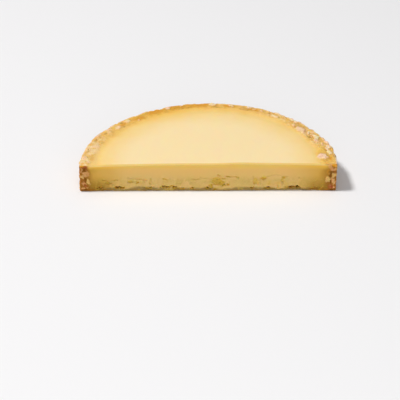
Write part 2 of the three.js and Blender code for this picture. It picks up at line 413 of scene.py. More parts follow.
# the crust where the knife went through it: a ring on the top, and two ends on the cut
crust = {
    # degrees round the arc, mm wide
    "ring": [(0, 22), (32, 22), (42, 17.5), (54, 17.5), (66, 15), (112, 16), (124, 19), (180, 19)],
    "wideFrom": (14 * mm, 17 * mm),  # where it counts as wide
    "calm": (116, 142, 0.7),  # from the first of these degrees to the second, contrasts fall to this share
    # how far a pale tone comes over it, by degrees
    "washed": [(12, 0), (18, 0.42), (56, 0.42), (62, 0), (142, 0), (162, 0.62), (180, 0.62)],
    "washedFrom": (-0.5, 0.3),
    "dried": [(111, 0, 200, 80), (9, 16, 64, 30)],  # where it and the paste beside it have dried the most
    "endWidth": 14 * mm,
    "wander": 5 * mm,
    "softEdge": 5 * mm,
    "lip": 0.7 * mm,  # the dry crust stands this much above the paste
    "grain": 0.2 * mm,
    "swell": 0.35 * mm,
    "ragged": 2.2,  # mm, how uneven the outlines of what lies on it are
    "endRagged": 2.4,
    "orange": [  # degrees, mm in from the rim, length, width
        (5.5, 9, 12, 6), (24, 1, 8, 4), (40, 17, 9, 6), (49, 19, 12, 7), (67, 9, 28, 9), (79, 8, 30, 10),
        (95, 6, 54, 20), (106, 7, 40, 21), (117, 8, 40, 20), (127, 12, 30, 14), (137, 11, 18, 9),
    ],
    # on the ends: mm in (less than 0 at the other end), above, width, height
    "endOrange": [(4.5, 43, 10, 6), (13, 31, 6, 10), (-5, 45, 10, 4)],
    "endRed": [(9.5, 8, 11, 8), (-9, 41.5, 10, 3), (-8.5, 9.5, 3, 6)],
    # crevices: dipped a little, and darkened with painted shade
    "crevices": [
        (13, 12.5, 9, 4), (28.3, 16.5, 18, 6), (33.2, 11.5, 7, 5), (58, 7, 7, 5), (72, 13, 24, 3),
        (84, 12.5, 26, 3), (99, 13, 44, 3.5), (136.8, 6, 9, 7), (138, 17, 12, 5), (144, 5, 8, 5),
        (148.5, 9, 9, 6), (152.8, 9, 8, 5), (156, 6, 10, 5), (157.5, 18, 9, 3.5), (165.8, 7, 15, 6),
        (176.5, 9.5, 9, 4),
    ],
    "endCrevices": [
        (8.5, 28, 8, 16), (8.5, 16, 3, 12), (8, 1, 16, 5),
        (-8, 37.5, 8, 8), (-8.5, 21, 4, 10), (-8, 1, 16, 5),
    ],
    "spotEdge": (1.25, 0.4),  # of all these spots, from outside to full
    "creviceWorn": (-0.5, 0.2),
    "creviceDepth": 1.3 * mm,
    "cracked": (11 * mm, 4, 83.0),  # further crevices with painted shade, anywhere on the ring's wide stretches
    "crackedFrom": (0.15, 0.4),
    "crackedShade": 0.3,
    "crackedStretch": (0.7, 1, 1),
    "noises": {  # size, octaves, seed
        "wander": (13 * mm, 3, 19.0),
        "grain": (2.6 * mm, 3, 13.0),
        "swell": (9 * mm, 3, 31.0),
        "along": (5 * mm, 4, 45.0),
        "into": (5 * mm, 4, 71.0),
        "endInto": (6 * mm, 5, 71.0),
        "endAbove": (6 * mm, 5, 57.0),
        "worn": (4 * mm, 3, 97.0),
        "washed": (12 * mm, 3, 87.0),
        "line": (10 * mm, 3, 67.0),
    },
}

# pale lumps of crust on it
chunks = {
    "ring": [  # degrees, mm in from the rim, length, width, how pink
        (7.5, 20.5, 16, 16, 0.9), (11, 8, 12, 5, 0), (15.5, 4, 8, 8, 0.3), (20, 2.5, 13, 5, 1),
        (23.5, 14, 8, 5, 0.7), (26, 8.5, 17, 8, 0), (30.8, 12.5, 7, 5, 0.8), (36, 15.5, 17, 11, 0.8),
        (45, 4, 20, 6, 0.1), (54.3, 13, 15, 7, 0.2), (55, 2, 12, 4, 0.8), (69.5, 6, 9, 5, 0.3),
        (79, 6, 8, 4, 0.4), (88, 5, 14, 8, 0), (110.5, 6, 10, 6, 0.9), (133.5, 8, 9, 7, 0.2),
        (141, 12, 13, 8, 0.4), (145.5, 5, 13, 6, 1), (152, 3.5, 12, 5, 1), (162, 12, 14, 12, 0.4),
        (173, 6, 12, 6, 1), (177, 13, 6, 5, 0.8),
    ],
    "ringPale": (0.9, 1),
    "ends": [  # mm in (less than 0 at the other end), above, width, height, how pink, how pale
        (12.8, 19.5, 7, 10, 0, 1), (4, 26.5, 6, 8, 0, 0.8), (10, 40, 6, 9, 0.8, 0.75),
        (4.5, 36.5, 8, 5, 0.6, 0.75), (4.5, 15, 7, 9, 0.5, 0.85), (4, 7, 4, 5, 1, 0.95),
        (-3.5, 38, 4, 9, 0.7, 0.5), (-10.5, 30.5, 9, 7, 0.6, 0.75), (-4, 26, 5, 8, 0.1, 0.8),
        (-13, 17, 6, 9, 0, 0.9), (-5.5, 14, 8, 6, 0.8, 0.6), (-4, 6, 5, 6, 0.3, 0.75),
        (-11, 8, 5, 4, 0.2, 0.5),
    ],
    "crumbs": [(14, 58, 24), (58, 125, 6), (125, 179, 14)],  # small ones: degrees, and how many
    "crumbLength": (3.5, 9),
    "crumbAcross": (0.5, 0.8),  # as a share of the length
    "crumbPale": (0.4, 0.9),
    "endCrumbs": 18,
    "endCrumbIn": 1,  # mm, the least
    "endCrumbAbove": 3,
    "endCrumbLength": (2, 5),
    "endCrumbAcross": (0.6, 1.4),
    "endCrumbPale": (0.15, 0.55),
    "sides": (5, 7),
    "skew": 0.25,  # how unequal the sides are
    "reach": (0.8, 1.15),
    "standUp": (0.5, 1),
    "height": 1.7 * mm,
    "endHeight": 0.5,  # a share of that
    "soft": 0.24,  # how soft their edges are
    "endSoft": 0.45,
    "seamWidth": 3,  # of the painted shadow round each, in soft edges
    "seamShade": 0.45,
    "seed": 19,
}

# the paler line along the rim, broken into pieces
rimLine = {
    "reach": (1.8 * mm, 3.6 * mm),  # in from the rim
    "ragged": 0.6 * mm,
    "broken": (-0.5, 0),
    "strength": [(0, 1), (84, 1), (92, 0.4), (114, 0.4), (122, 1), (180, 1)],  # by degrees
    "pale": 0.75,
    "pink": 0.6,
}


def unroll(points):
    # along the arc, out from the axis, and up
    turn = np.arctan2(np.maximum(points[:, 1], 0), points[:, 0])
    return np.column_stack((turn * bodyRadius, np.hypot(points[:, 0], points[:, 1]), points[:, 2]))


def turnOf(points):
    return np.degrees(unroll(points)[:, 0] / bodyRadius)


def arcAt(degrees):
    return math.radians(degrees) * bodyRadius / mm


def onArc(spots):
    # the same spots with their degrees as mm along the arc
    return [(arcAt(spot[0]), *spot[1:]) for spot in spots]


def softMask(first, second, spots):
    mask = np.zeros(len(first))
    for x, y, length, width in spots:
        reach = np.hypot((first - x) / (length / 2), (second - y) / (width / 2))
        mask = np.maximum(mask, easeStep(*crust["spotEdge"], reach))
    return mask


def drawChunks(draw):
    # the listed lumps and small ones at places drawn once, for the ring and for the ends
    ring = [(*chunk, draw.uniform(*chunks["ringPale"])) for chunk in onArc(chunks["ring"])]
    for first, last, number in chunks["crumbs"]:
        for i in range(number):
            degrees = draw.uniform(first, last)
            deep = byDegrees(degrees, crust["ring"]) * draw.random()
            length = draw.uniform(*chunks["crumbLength"])
            across = length * draw.uniform(*chunks["crumbAcross"])
            pale = draw.uniform(*chunks["crumbPale"])
            ring.append((arcAt(degrees), deep, length, across, draw.random(), pale))
    ends = list(chunks["ends"])
    for i in range(chunks["endCrumbs"]):
        deep = draw.choice((-1, 1)) * draw.uniform(chunks["endCrumbIn"], crust["endWidth"] / mm)
        length = draw.uniform(*chunks["endCrumbLength"])
        across = length * draw.uniform(*chunks["endCrumbAcross"])
        pale = draw.uniform(*chunks["endCrumbPale"])
        above = draw.uniform(chunks["endCrumbAbove"], rimHeight / mm)
        ends.append((deep, above, length, across, draw.random(), pale))
    return ring, ends


def chunkMasks(first, second, spots, soft, draw):
    # angular lumps: where they are, how pink they are, how far they stand up, and the painted shadow round
    # each
    there, pink, height, seamShadow = (np.zeros(len(first)) for i in range(4))
    skew, seamEnd = chunks["skew"], 1 + chunks["seamWidth"] * soft
    for x, y, length, width, tint, pale in spots:
        near = np.flatnonzero((abs(first - x) < length) & (abs(second - y) < width))
        reach = np.zeros(len(near))
        sides = draw.randint(*chunks["sides"])
        start = draw.uniform(0, math.tau)
        for i in range(sides):
            angle = start + math.tau * (i + draw.uniform(-skew, skew)) / sides
            across = (first[near] - x) / (length / 2) * math.cos(angle)
            across += (second[near] - y) / (width / 2) * math.sin(angle)
            reach = np.maximum(reach, across / draw.uniform(*chunks["reach"]))
        mask = pale * easeStep(1 + soft, 1 - soft, reach)
        pink[near] = np.where(mask > there[near], tint, pink[near])
        there[near] = np.maximum(there[near], mask)
        height[near] = np.maximum(height[near], mask * draw.uniform(*chunks["standUp"]))
        seamShadow[near] = np.maximum(seamShadow[near], pale * easeStep(seamEnd, 1 + soft, reach))
    return there, pink, height, seamShadow


def shapeRing(points, inward, onCut):
    # where the crust is, how far it stands out, and what its colours follow
    draw = random.Random(chunks["seed"])
    rough = {name: fractalAt(points, *setting) for name, setting in crust["noises"].items()}
    arc = unroll(points)
    turn = turnOf(points)
    onTop = 1 - onCut
    width = byDegrees(turn, crust["ring"]) * mm
    width += (crust["endWidth"] - width) * onCut + crust["wander"] * rough["wander"]
    mask = 1 - easeStep(-crust["softEdge"], crust["softEdge"], inward - width)
    isWide = easeStep(*crust["wideFrom"], width) * onTop
    first, last, share = crust["calm"]
    isCalm = easeStep(first, last, turn) * onTop
    calm = 1 - (1 - share) * isCalm

    along = arc[:, 0] / mm + crust["ragged"] * rough["along"]
    into = inward / mm + crust["ragged"] * rough["into"]
    endInto = (inward / mm + crust["endRagged"] * rough["endInto"]) * np.sign(points[:, 0])
    endAbove = points[:, 2] / mm + crust["endRagged"] * rough["endAbove"]

    def onEither(top, end):
        return top + (end - top) * onCut

    def spotsOf(name, endName):
        return onEither(softMask(along, into, onArc(crust[name])),
                        softMask(endInto, endAbove, crust[endName]))

    ring, ends = drawChunks(draw)
    ringMasks = chunkMasks(along, into, ring, chunks["soft"], draw)
    endMasks = chunkMasks(endInto, endAbove, ends, chunks["endSoft"], draw)
    chunk, pink, height, seamShadow = (onEither(top, end) for top, end in zip(ringMasks, endMasks))
    height *= 1 - (1 - chunks["endHeight"]) * onCut
    # a painted shadow round each lump, with a small dip
    seamShadow *= chunks["seamShade"] * (1 - isCalm) * isWide
    red = softMask(endInto, endAbove, crust["endRed"]) * onCut
    orange = spotsOf("orange", "endOrange")
    # crevices are dipped and get painted shade
    crevice = spotsOf("crevices", "endCrevices") * easeStep(*crust["creviceWorn"], rough["worn"] + onCut)
    cracked = fractalAt(arc * crust["crackedStretch"], *crust["cracked"])
    cracked = crust["crackedShade"] * easeStep(*crust["crackedFrom"], cracked) * isWide
    crevice = np.maximum(np.maximum(crevice, cracked), seamShadow) * (1 - chunk) * calm
    chunk, height = chunk * calm, height * calm
    mask = np.maximum(mask, chunk)  # some lumps lie further in than the rest of the crust

    washed = byDegrees(turn, crust["washed"]) * easeStep(*crust["washedFrom"], rough["washed"])
    chunk = np.maximum(chunk, washed * onTop * (1 - crevice))
    fromRim = inward + rimLine["ragged"] * rough["grain"]
    line = (1 - easeStep(*rimLine["reach"], fromRim)) * byDegrees(turn, rimLine["strength"])
    line *= easeStep(*rimLine["broken"], rough["line"]) * onTop
    pink = np.maximum(pink, rimLine["pink"] * line)
    chunk = np.maximum(chunk, rimLine["pale"] * line)
    move = crust["lip"] + chunks["height"] * height - crust["creviceDepth"] * crevice
    move += crust["grain"] * rough["grain"] + crust["swell"] * rough["swell"]
    return mask, move, {"chunk": chunk, "pink": pink, "orange": orange, "crevice": crevice, "red": red}


# the outer skin
skin = {
    "level": 0.55,  # from dark, 0, to pale, 1
    "layers": {  # size, octaves, seed, stretch along the arc, height, how much paler
        "lumps": (16 * mm, 3, 7.0, 0.7, 2.3 * mm, 0.25),
        "bumps": (6 * mm, 4, 53.0, 1, 0.9 * mm, 0.3),
        "broad": (32 * mm, 2, 37.0, 0.6, 0, -0.3),
    },
    "grainPaler": 0.15,
    "pits": (5 * mm, 0.8, 23.0),  # size, how bent, seed
    "pitEdge": (0.6, 0.2),
    "pitDepth": 1.8 * mm,
    "pitPaler": -0.5,
    "crowded": (-0.25, 0.35),  # of the broad layer, where pits crowd together
    "without": (0.75, 0.2, 0.1),  # the share of spots without a pit, elsewhere and there, and how soft
    "top": (0.6 * mm, 2.6 * mm),  # below the rim, where the skin's own colours begin
    "topUneven": 1.4 * mm,
    "topNoise": (10 * mm, 3, 63.0),
}

# pieces broken out of the rim
chips = {
    "number": 22,
    "length": (5, 16),
    "height": (1.5, 5),
    "depth": (0.6, 1.8),
    "edge": (1.1, 0.3),  # from outside to full depth, as a share of the chip
    "colourEdge": (1.1, 0.8),
    "alongNoise": (5 * mm, 3, 15.0),
    "rimNoise": (4 * mm, 3, 25.0),
    "seed": 20,
}


def shapeSkin(points):
    # lumps, clustered pits, and a level from dark to pale
    arc = unroll(points)
    grain = fractalAt(points, *crust["noises"]["grain"])
    move = crust["grain"] * grain
    level = skin["level"] + skin["grainPaler"] * grain
    layers = {}
    for name, (size, octaves, seed, stretch, height, paler) in skin["layers"].items():
        layers[name] = fractalAt(arc * (stretch, 1, 1), size, octaves, seed)
        move += height * layers[name]
        level += paler * layers[name]
    reaches, middles = cellsAt(arc, *skin["pits"])
    elsewhere, there, soft = skin["without"]
    without = elsewhere + (there - elsewhere) * easeStep(*skin["crowded"], layers["broad"])
    pit = easeStep(*skin["pitEdge"], reaches[:, 0])
    pit *= easeStep(without, without + soft, ownNumbers(middles[:, 0]))
    return move - skin["pitDepth"] * pit, np.clip(level + skin["pitPaler"] * pit, 0, 1)


def chipRim(points, inward):
    # how deep the rim is chipped, and how far a point is inside a chip
    draw = random.Random(chips["seed"])
    along = unroll(points)[:, 0] / mm + fractalAt(points, *chips["alongNoise"])
    fromRim = np.maximum(inward, rimHeight - points[:, 2]) / mm + fractalAt(points, *chips["rimNoise"])
    depth, inside = np.zeros(len(points)), np.zeros(len(points))
    for i in range(chips["number"]):
        middle = arcAt(180 * (i + draw.random()) / chips["number"])
        length, height, deep = (draw.uniform(*chips[size]) for size in ("length", "height", "depth"))
        reach = np.hypot((along - middle) / (length / 2), fromRim / height)
        depth = np.maximum(depth, deep * mm * easeStep(*chips["edge"], reach))
        inside = np.maximum(inside, easeStep(*chips["colourEdge"], reach))
    return depth, inside


# which way a face has to look to count as part of a side: not yet at the first, fully at the second
facing = {
    "top": (0.5, 0.9),
    "cut": (0.35, 0.75),
    "side": (0.35, 0.75),
    "under": (0.3, 0.7),
    "cutReach": 4 * mm,  # behind the cut
    "sideReach": 3 * mm,  # in from the rim
    "rimReach": 30 * mm,  # all of the crust is within this
    "edgeGain": 4,  # how much of the rounding between the cut and the top counts as its edge, which gets painted shading
}


def shapeTop(points, normals, radial):
    # how far up each point goes: the dome, the sunk band inside the crust, and the waves along the cut
    band = np.clip((bodyRadius - radial - halfWheel["bandStart"]) / halfWheel["bandWidth"], 0, 1)
    dip = halfWheel["bandDip"] * np.sin(math.pi * band) ** 2 * easeStep(*facing["top"], normals[:, 2])
    up = topAt(points[:, 0], radial) - rimHeight
    back = points[:, 1] / halfWheel["waveBack"]
    for middle, wide, high in halfWheel["edgeWaves"]:
        along = (points[:, 0] / mm - middle) / wide
        up += high * mm * np.exp(-along ** 2 - back ** 2)
    return up * points[:, 2] / rimHeight - dip


def shapeOutline(points, radial):
    # how far out each point goes
    turn = turnOf(points)
    out = np.zeros(len(points))
    for degrees, wide, far in halfWheel["bulges"]:
        out += far * mm * np.exp(-((turn - degrees) / wide) ** 2)
    return out * (radial / bodyRadius) ** halfWheel["bulgePower"]


def carveBody(body):
    mesh = body.data
    count = len(mesh.vertices)
    flat = np.empty(count * 3, np.float32)
    mesh.vertices.foreach_get("co", flat)
    points = flat.reshape(-1, 3).astype(float) - (axisX, axisY, 0)
    mesh.vertices.foreach_get("normal", flat)
    normals = flat.reshape(-1, 3).astype(float)

    radial = np.hypot(points[:, 0], points[:, 1])
    inward = bodyRadius - radial
    outward = points[:, :2] / np.maximum(radial, mm)[:, None]
    nearCut = points[:, 1] < facing["cutReach"]
    onCut = easeStep(*facing["cut"], -normals[:, 1]) * nearCut
    onSide = easeStep(*facing["side"], (normals[:, :2] * outward).sum(1))
    onSide *= (inward < facing["sideReach"]) * (1 - onCut)
    onUnder = easeStep(*facing["under"], -normals[:, 2])
    edge = np.clip(normals[:, 2], 0, 1) * np.clip(-normals[:, 1], 0, 1) * nearCut

    looks = ("crust", "skin", "level", "chunk", "pink", "orange", "crevice", "red",
             "hollowShade", "curd", "curdPale", "foot")
    values = {name: np.zeros(count) for name in looks}
    dried = softMask(unroll(points)[:, 0] / mm, inward / mm, onArc(crust["dried"]))
    values["dried"] = dried * (1 - onCut)
    values["cut"] = onCut
    values["edge"] = np.clip(facing["edgeGain"] * edge, 0, 1)
    moves = np.zeros((count, 3))
    moves[:, 2] = shapeTop(points, normals, radial)
    moves[:, :2] = outward * shapeOutline(points, radial)[:, None]

    rim = np.flatnonzero(inward < facing["rimReach"])
    side = onSide[rim]
    mask, ringMove, ringLooks = shapeRing(points[rim], inward[rim], onCut[rim])
    skinMove, skinLevel = np.zeros(len(rim)), np.zeros(len(rim))
    outer = np.flatnonzero(side > 0)
    skinMove[outer], skinLevel[outer] = shapeSkin(points[rim][outer])
    chip, inChip = chipRim(points[rim], inward[rim])
    amount = side * skinMove + (1 - side) * mask * ringMove - chip * (1 - onCut[rim])
    amount *= 1 - onUnder[rim]
    moves[rim] += normals[rim] * amount[:, None]
    values["crust"][rim] = np.maximum(mask, side)
    below = rimHeight - points[rim, 2] + skin["topUneven"] * fractalAt(points[rim], *skin["topNoise"])
    values["skin"][rim] = side * (1 - inChip) * easeStep(*skin["top"], below)
    values["level"][rim] = skinLevel
    for name, numbers in ringLooks.items():
        values[name][rim] = numbers * (1 - side)
    print("crust shaped")

    back = curd["reachBack"]
    front = np.flatnonzero(points[:, 1] < back)
    place = points[front] * (1, 0, 1)  # the same for all that stands behind a spot of the cut
    depth, cutLooks = shapeCut(points[front], place)
    paste = 1 - values["crust"][front]
    moves[front, 1] += depth * paste * (1 - points[front, 1] / back)
    for name, numbers in cutLooks.items():
        values[name][front] = numbers * paste * onCut[front]
    print("cut face shaped")

    points += moves + (axisX, axisY, 0)
    points[:, 2] = np.maximum(points[:, 2], 0)
    mesh.vertices.foreach_set("co", points.astype(np.float32).ravel())
    for name, numbers in values.items():
        attribute = mesh.attributes.new(name, "FLOAT", "POINT")
        attribute.data.foreach_set("value", numbers.astype(np.float32))
    mesh.update()

    triangles = sum(len(p.vertices) - 2 for p in mesh.polygons)
    thin = body.modifiers.new("fewer faces", "DECIMATE")
    thin.ratio = min(1, halfWheel["mostTriangles"] / triangles)
    applyModifiers(body)
    body.data.shade_smooth()
    print("half wheel:", len(body.data.polygons), "faces")


# flakes of pale crust that the knife has left standing along the rim
flakes = {
    "stretches": [(2, 58, 15), (58, 125, 4), (125, 178, 9)],  # degrees round the arc, and how many
    "inset": (0.5 * mm, 15 * mm),
    "length": (3 * mm, 8 * mm),
    "shorter": (0.6, 1),
    "width": 0.62,  # as a share of the length
    "thickness": 0.3,
    "sunk": 0.4,  # of the thickness
    "lean": 0.25,  # in radians, about
    "twist": 0.6,
    "corners": 13,
    "cornerReach": (0.75, 1),
    "cuts": 2,
    "roughen": 0.35,
    "alongNormal": 0.4,
    "smooth": 0.35,
    "seed": 33,
}


def addChip(bm, shade, value, place, size, draw):
    # the hull of a few points in a squashed ball, roughened
    start = set(bm.verts)
    for i in range(flakes["corners"]):
        direction = Vector((draw.gauss(0, 1), draw.gauss(0, 1), draw.gauss(0, 1))).normalized()
        spot = Vector(a * b for a, b in zip(direction, size)) * draw.uniform(*flakes["cornerReach"])
        bm.verts.new(place @ spot)
    corners = [v for v in bm.verts if v not in start]
    hull = bmesh.ops.convex_hull(bm, input=corners)
    loose = [v for v in hull["geom_interior"] if isinstance(v, bmesh.types.BMVert)]
    bmesh.ops.delete(bm, geom=loose, context="VERTS")
    edges = {e for v in bm.verts if v not in start for e in v.link_edges}
    bmesh.ops.subdivide_edges(bm, edges=list(edges), cuts=flakes["cuts"], fractal=flakes["roughen"],
                              along_normal=flakes["alongNormal"], use_grid_fill=True,
                              seed=draw.randrange(10000))
    made = [v for v in bm.verts if v not in start]
    bmesh.ops.smooth_vert(bm, verts=made, factor=flakes["smooth"],
                          use_axis_x=True, use_axis_y=True, use_axis_z=True)
    for v in made:
        v[shade] = value


def makeFlakes():
    draw = random.Random(flakes["seed"])
    bm = bmesh.new()
    shade = bm.verts.layers.float.new("shade")
    for first, last, number in flakes["stretches"]:
        for i in range(number):
            turn = math.radians(first + (last - first) * (i + draw.random()) / number)
            length = draw.uniform(*flakes["length"]) * draw.uniform(*flakes["shorter"])
            size = Vector((length, length * flakes["width"], length * flakes["thickness"])) / 2
            radial = bodyRadius - draw.uniform(*flakes["inset"]) - size.y
            spot = Vector((radial * math.cos(turn), radial * math.sin(turn), 0))
            spot.z = topAt(spot.x, radial) + size.z * (1 - 2 * flakes["sunk"])
            leanX, leanY = draw.gauss(0, flakes["lean"]), draw.gauss(0, flakes["lean"])
            lean = Euler((leanX, leanY, turn + math.pi / 2 + draw.gauss(0, flakes["twist"])))
            place = Matrix.Translation(spot + Vector((axisX, axisY, 0))) @ lean.to_matrix().to_4x4()
            addChip(bm, shade, draw.random(), place, size, draw)
    bmesh.ops.recalc_face_normals(bm, faces=bm.faces)
    piece = objectFrom(bm, "rind_flakes")
    piece.data.shade_smooth()
    print("flakes:", len(piece.data.polygons), "faces")
    return piece


# small helpers for materials

def tone(red, green, blue):
    # a colour as a picture shows it, 0 to 255, as the shader wants it
    def light(value):
        share = value / 255
        return share / 12.92 if share <= 0.04045 else ((share + 0.055) / 1.055) ** 2.4
    return (light(red), light(green), light(blue), 1.0)


def addNode(tree, kind, inputs=None, **settings):
    node = tree.nodes.new(kind)
    for name, value in settings.items():
        setattr(node, name, value)
    for name, value in (inputs or {}).items():
        if isinstance(value, bpy.types.NodeSocket):
            tree.links.new(value, node.inputs[name])
        else:
            node.inputs[name].default_value = value
    return node


def mixColour(tree, factor, first, second, blend="MIX"):
    inputs = {0: factor, 6: first, 7: second}
    return addNode(tree, "ShaderNodeMix", inputs, data_type="RGBA", blend_type=blend).outputs[2]


def tinted(tree, colour, tint):
    return mixColour(tree, 1.0, colour, tint, "MULTIPLY")


def spread(tree, value, start, end, low=0.0, high=1.0, smooth=True):
    kind = "SMOOTHSTEP" if smooth else "LINEAR"
    inputs = {"Value": value, "From Min": start, "From Max": end, "To Min": low, "To Max": high}
    return addNode(tree, "ShaderNodeMapRange", inputs, interpolation_type=kind).outputs["Result"]


def combine(tree, operation, first, second):
    return addNode(tree, "ShaderNodeMath", {0: first, 1: second}, operation=operation).outputs[0]


def painted(tree, name):
    return addNode(tree, "ShaderNodeAttribute", attribute_name=name).outputs["Fac"]


def uneven(tree, where, scale, detail, roughness=0.5):
    inputs = {"Vector": where, "Scale": scale, "Detail": detail, "Roughness": roughness}
    return addNode(tree, "ShaderNodeTexNoise", inputs).outputs["Fac"]


def newGroup(name, inputs, outputs):
    tree = bpy.data.node_groups.new(name, "ShaderNodeTree")
    for side, sockets in (("INPUT", inputs), ("OUTPUT", outputs)):
        for label, kind in sockets.items():
            tree.interface.new_socket(name=label, in_out=side, socket_type="NodeSocket" + kind)
    return tree, tree.nodes.new("NodeGroupInput").outputs, tree.nodes.new("NodeGroupOutput").inputs


def useGroup(tree, group, inputs):
    return addNode(tree, "ShaderNodeGroup", inputs, node_tree=group).outputs


def newMaterial(name, constants):
    material = bpy.data.materials.new(name)
    material.use_nodes = True
    tree = material.node_tree
    shader = tree.nodes["Principled BSDF"]
    for label, value in constants.items():
        shader.inputs[label].default_value = value
    where = addNode(tree, "ShaderNodeTexCoord").outputs["Object"]
    centre = addNode(tree, "ShaderNodeMapping", {"Vector": where, "Location": (-axisX, -axisY, 0)})
    return material, tree, shader, centre.outputs["Vector"]


def addBump(tree, shader, height, distance, strength):
    bump = addNode(tree, "ShaderNodeBump", {"Height": height, "Distance": distance, "Strength": strength})
    tree.links.new(bump.outputs["Normal"], shader.inputs["Normal"])


crumbly = {
    "noise": (5.0, 0.6),  # detail, roughness
    "shade": (0.3, 0.7),
    "cellDepth": 0.4,
}


def makeGrainGroup():
    # fine crumbly grain, for colour and for bump
    tree, inside, out = newGroup("crumbly grain", {"Vector": "Vector", "Scale": "Float"},
                                 {"Shade": "Float", "Height": "Float"})
    fine = uneven(tree, inside["Vector"], inside["Scale"], *crumbly["noise"])
    cells = addNode(tree, "ShaderNodeTexVoronoi", {"Vector": inside["Vector"], "Scale": inside["Scale"]},
                    feature="SMOOTH_F1").outputs["Distance"]
    sunk = combine(tree, "MULTIPLY", cells, crumbly["cellDepth"])
    tree.links.new(spread(tree, fine, *crumbly["shade"]), out["Shade"])
    tree.links.new(combine(tree, "SUBTRACT", fine, sunk), out["Height"])
    return tree


mottling = {
    "noise": (6.0, 0.65),  # detail, roughness
    "patchShare": 0.9,
    "lumpShare": 0.5,
    "middle": (0.42, 0.66),  # the level at which this colour starts, and is full
    "pale": (0.7, 0.9),
}


def makeMottleGroup():
    # three colours in patches, the pale one on what stands proud and the dark one in what is sunk
    inputs = {"Vector": "Vector", "Scale": "Float", "Lump": "Float",
              "Pale": "Color", "Middle": "Color", "Dark": "Color"}
    tree, inside, out = newGroup("crust mottle", inputs, {"Color": "Color"})
    patch = uneven(tree, inside["Vector"], inside["Scale"], *mottling["noise"])
    patch = combine(tree, "MULTIPLY", patch, mottling["patchShare"])
    lump = combine(tree, "MULTIPLY", inside["Lump"], mottling["lumpShare"])
    level = combine(tree, "ADD", patch, lump)
    low = mixColour(tree, spread(tree, level, *mottling["middle"]), inside["Dark"], inside["Middle"])
    colour = mixColour(tree, spread(tree, level, *mottling["pale"]), low, inside["Pale"])
    tree.links.new(colour, out["Color"])
    return tree


pasteColours = {
    "butter": tone(250, 222, 170),  # the middle of the sliced top: partly its own pale colour, partly painted light
    "golden": tone(244, 207, 127),  # towards the rind
    "amber": tone(238, 191, 100),  # next to it
    "driest": tone(240, 188, 66),
    "wheat": tone(252, 203, 118),  # the cut face: more golden than the top, partly its own colour, partly painted shade
    "straw": tone(235, 199, 119),  # its lower part
    "upperGlow": tone(255, 211, 105),  # painted glow along its top, as if light came through there
    "upperGlowDry": tone(252, 202, 76),
    "edge": tone(231, 197, 114),  # and the edge there: painted shading, a darker golden line
    # painted shade along the foot of the cut, the second one near the rind
    "foot": tone(174, 144, 80),
    "footDry": tone(170, 122, 26),
    "honey": tone(230, 181, 76),
    "toffee": tone(190, 132, 26),
    "caramel": tone(183, 141, 36),  # low down and next to the rind
    "hollowShade": tone(218, 176, 46),  # in the gaps between curds: partly the curd's own deeper yellow, partly painted shade
    "hollowShadePale": tone(246, 210, 100),
    "deep": tone(138, 90, 20),  # painted shade at the back of the deepest gaps
    "curdDark": (0.88, 0.9, 0.76, 1.0),  # tints of single curds
    "curdPale": (1.05, 1.04, 1.17, 1.0),
    "grainDark": (0.86, 0.82, 0.66, 1.0),  # and of the grain in them
    "grainPale": (1.04, 1.04, 1.0, 1.0),
}
pasteLooks = {
    "golden": (78 * mm, 13 * mm),  # in from the rind: where a colour starts, and where it is full
    "amber": (33 * mm, 9 * mm),
    "honey": (82 * mm, 14 * mm),
    "toffee": (28 * mm, 7 * mm),
    "lowDry": (60 * mm, 22 * mm),
    "upperGlowDry": (82 * mm, 20 * mm),
    "wheatHeight": (16 * mm, 42 * mm),  # above the underside
    "lowHeight": (30 * mm, 5 * mm),
    "upperGlowHeight": (rimHeight - 9 * mm, rimHeight - 1 * mm),
    "hollowShade": (0.05, 0.4),  # how deep a gap is, where its colour and painted shade start and are full
    # where the painted shade at the back of the deepest gaps starts, and is full
    "deep": (0.38, 0.7),
    "cloud": (38.0, 3.0),  # the distances from the rind vary in clouds: scale, detail
    "cloudFrom": (0.25, 0.75),
    "cloudReach": 6 * mm,  # by this much
    "driedShare": 0.45,
    "grainScale": 420.0,
    "grainShare": 0.35,
}
crustColours = {
    "skinPale": tone(230, 190, 140),
    "skinMiddle": tone(203, 150, 96),
    "skinDark": tone(120, 74, 30),
    "ringPale": tone(246, 208, 138),
    "ringMiddle": tone(236, 189, 103),
    "ringDark": tone(212, 163, 84),
    "orange": tone(225, 161, 58),
    # painted shade in the crust's crevices, on the top and on the ends
    "crevice": tone(178, 132, 60),
    "cream": tone(250, 228, 182),
    "pink": tone(252, 214, 186),
    "endGround": (0.53, 0.335, 0.12, 1.0),  # a tint of the ring's own colours, where the cut crosses it
    "endRed": tone(186, 100, 52),
    "endOrange": tone(234, 166, 40),
    "endCrevice": tone(148, 94, 10),
    "endCream": tone(250, 210, 130),
    "endPink": tone(250, 188, 132),
    "chunkDark": (0.88, 0.84, 0.76, 1.0),  # tints within a pale lump
    "chunkPale": (1.03, 1.03, 1.03, 1.0),
    "dirtDark": (0.8, 0.76, 0.7, 1.0),  # and of the fine grain all over
    "dirtPale": (1.05, 1.05, 1.05, 1.0),
}
crustLooks = {
    "skinScale": 70.0,
    "ringScale": 120.0,
    "ringLump": 0.5,
    "patches": (210.0, 4.0),  # in the pale lumps: scale, detail
    "patch": (0.35, 0.62),
    "wear": (0.3, 0.7, -0.3, 0.3),  # how the patches crumble a lump's edge away
    "worn": (0.15, 0.42),
    "dirtScale": 900.0,
}
cheeseShader = {
    "Subsurface Weight": 0.5,
    "Subsurface Scale": 3.5 * mm,
    "Subsurface Radius": (1.0, 0.45, 0.15),
    "IOR": 1.42,
    "Specular IOR Level": 0.28,
}
cheeseSurface = {
    "roughness": (0.46, 0.8),  # of the paste and of the crust
    "roughGrain": 0.05,
    "relief": {"paste": 0.04, "curd": 0.3, "crust": 0.9},
    "bumpDistance": 0.5 * mm,
    "bumpStrength": 0.8,
}


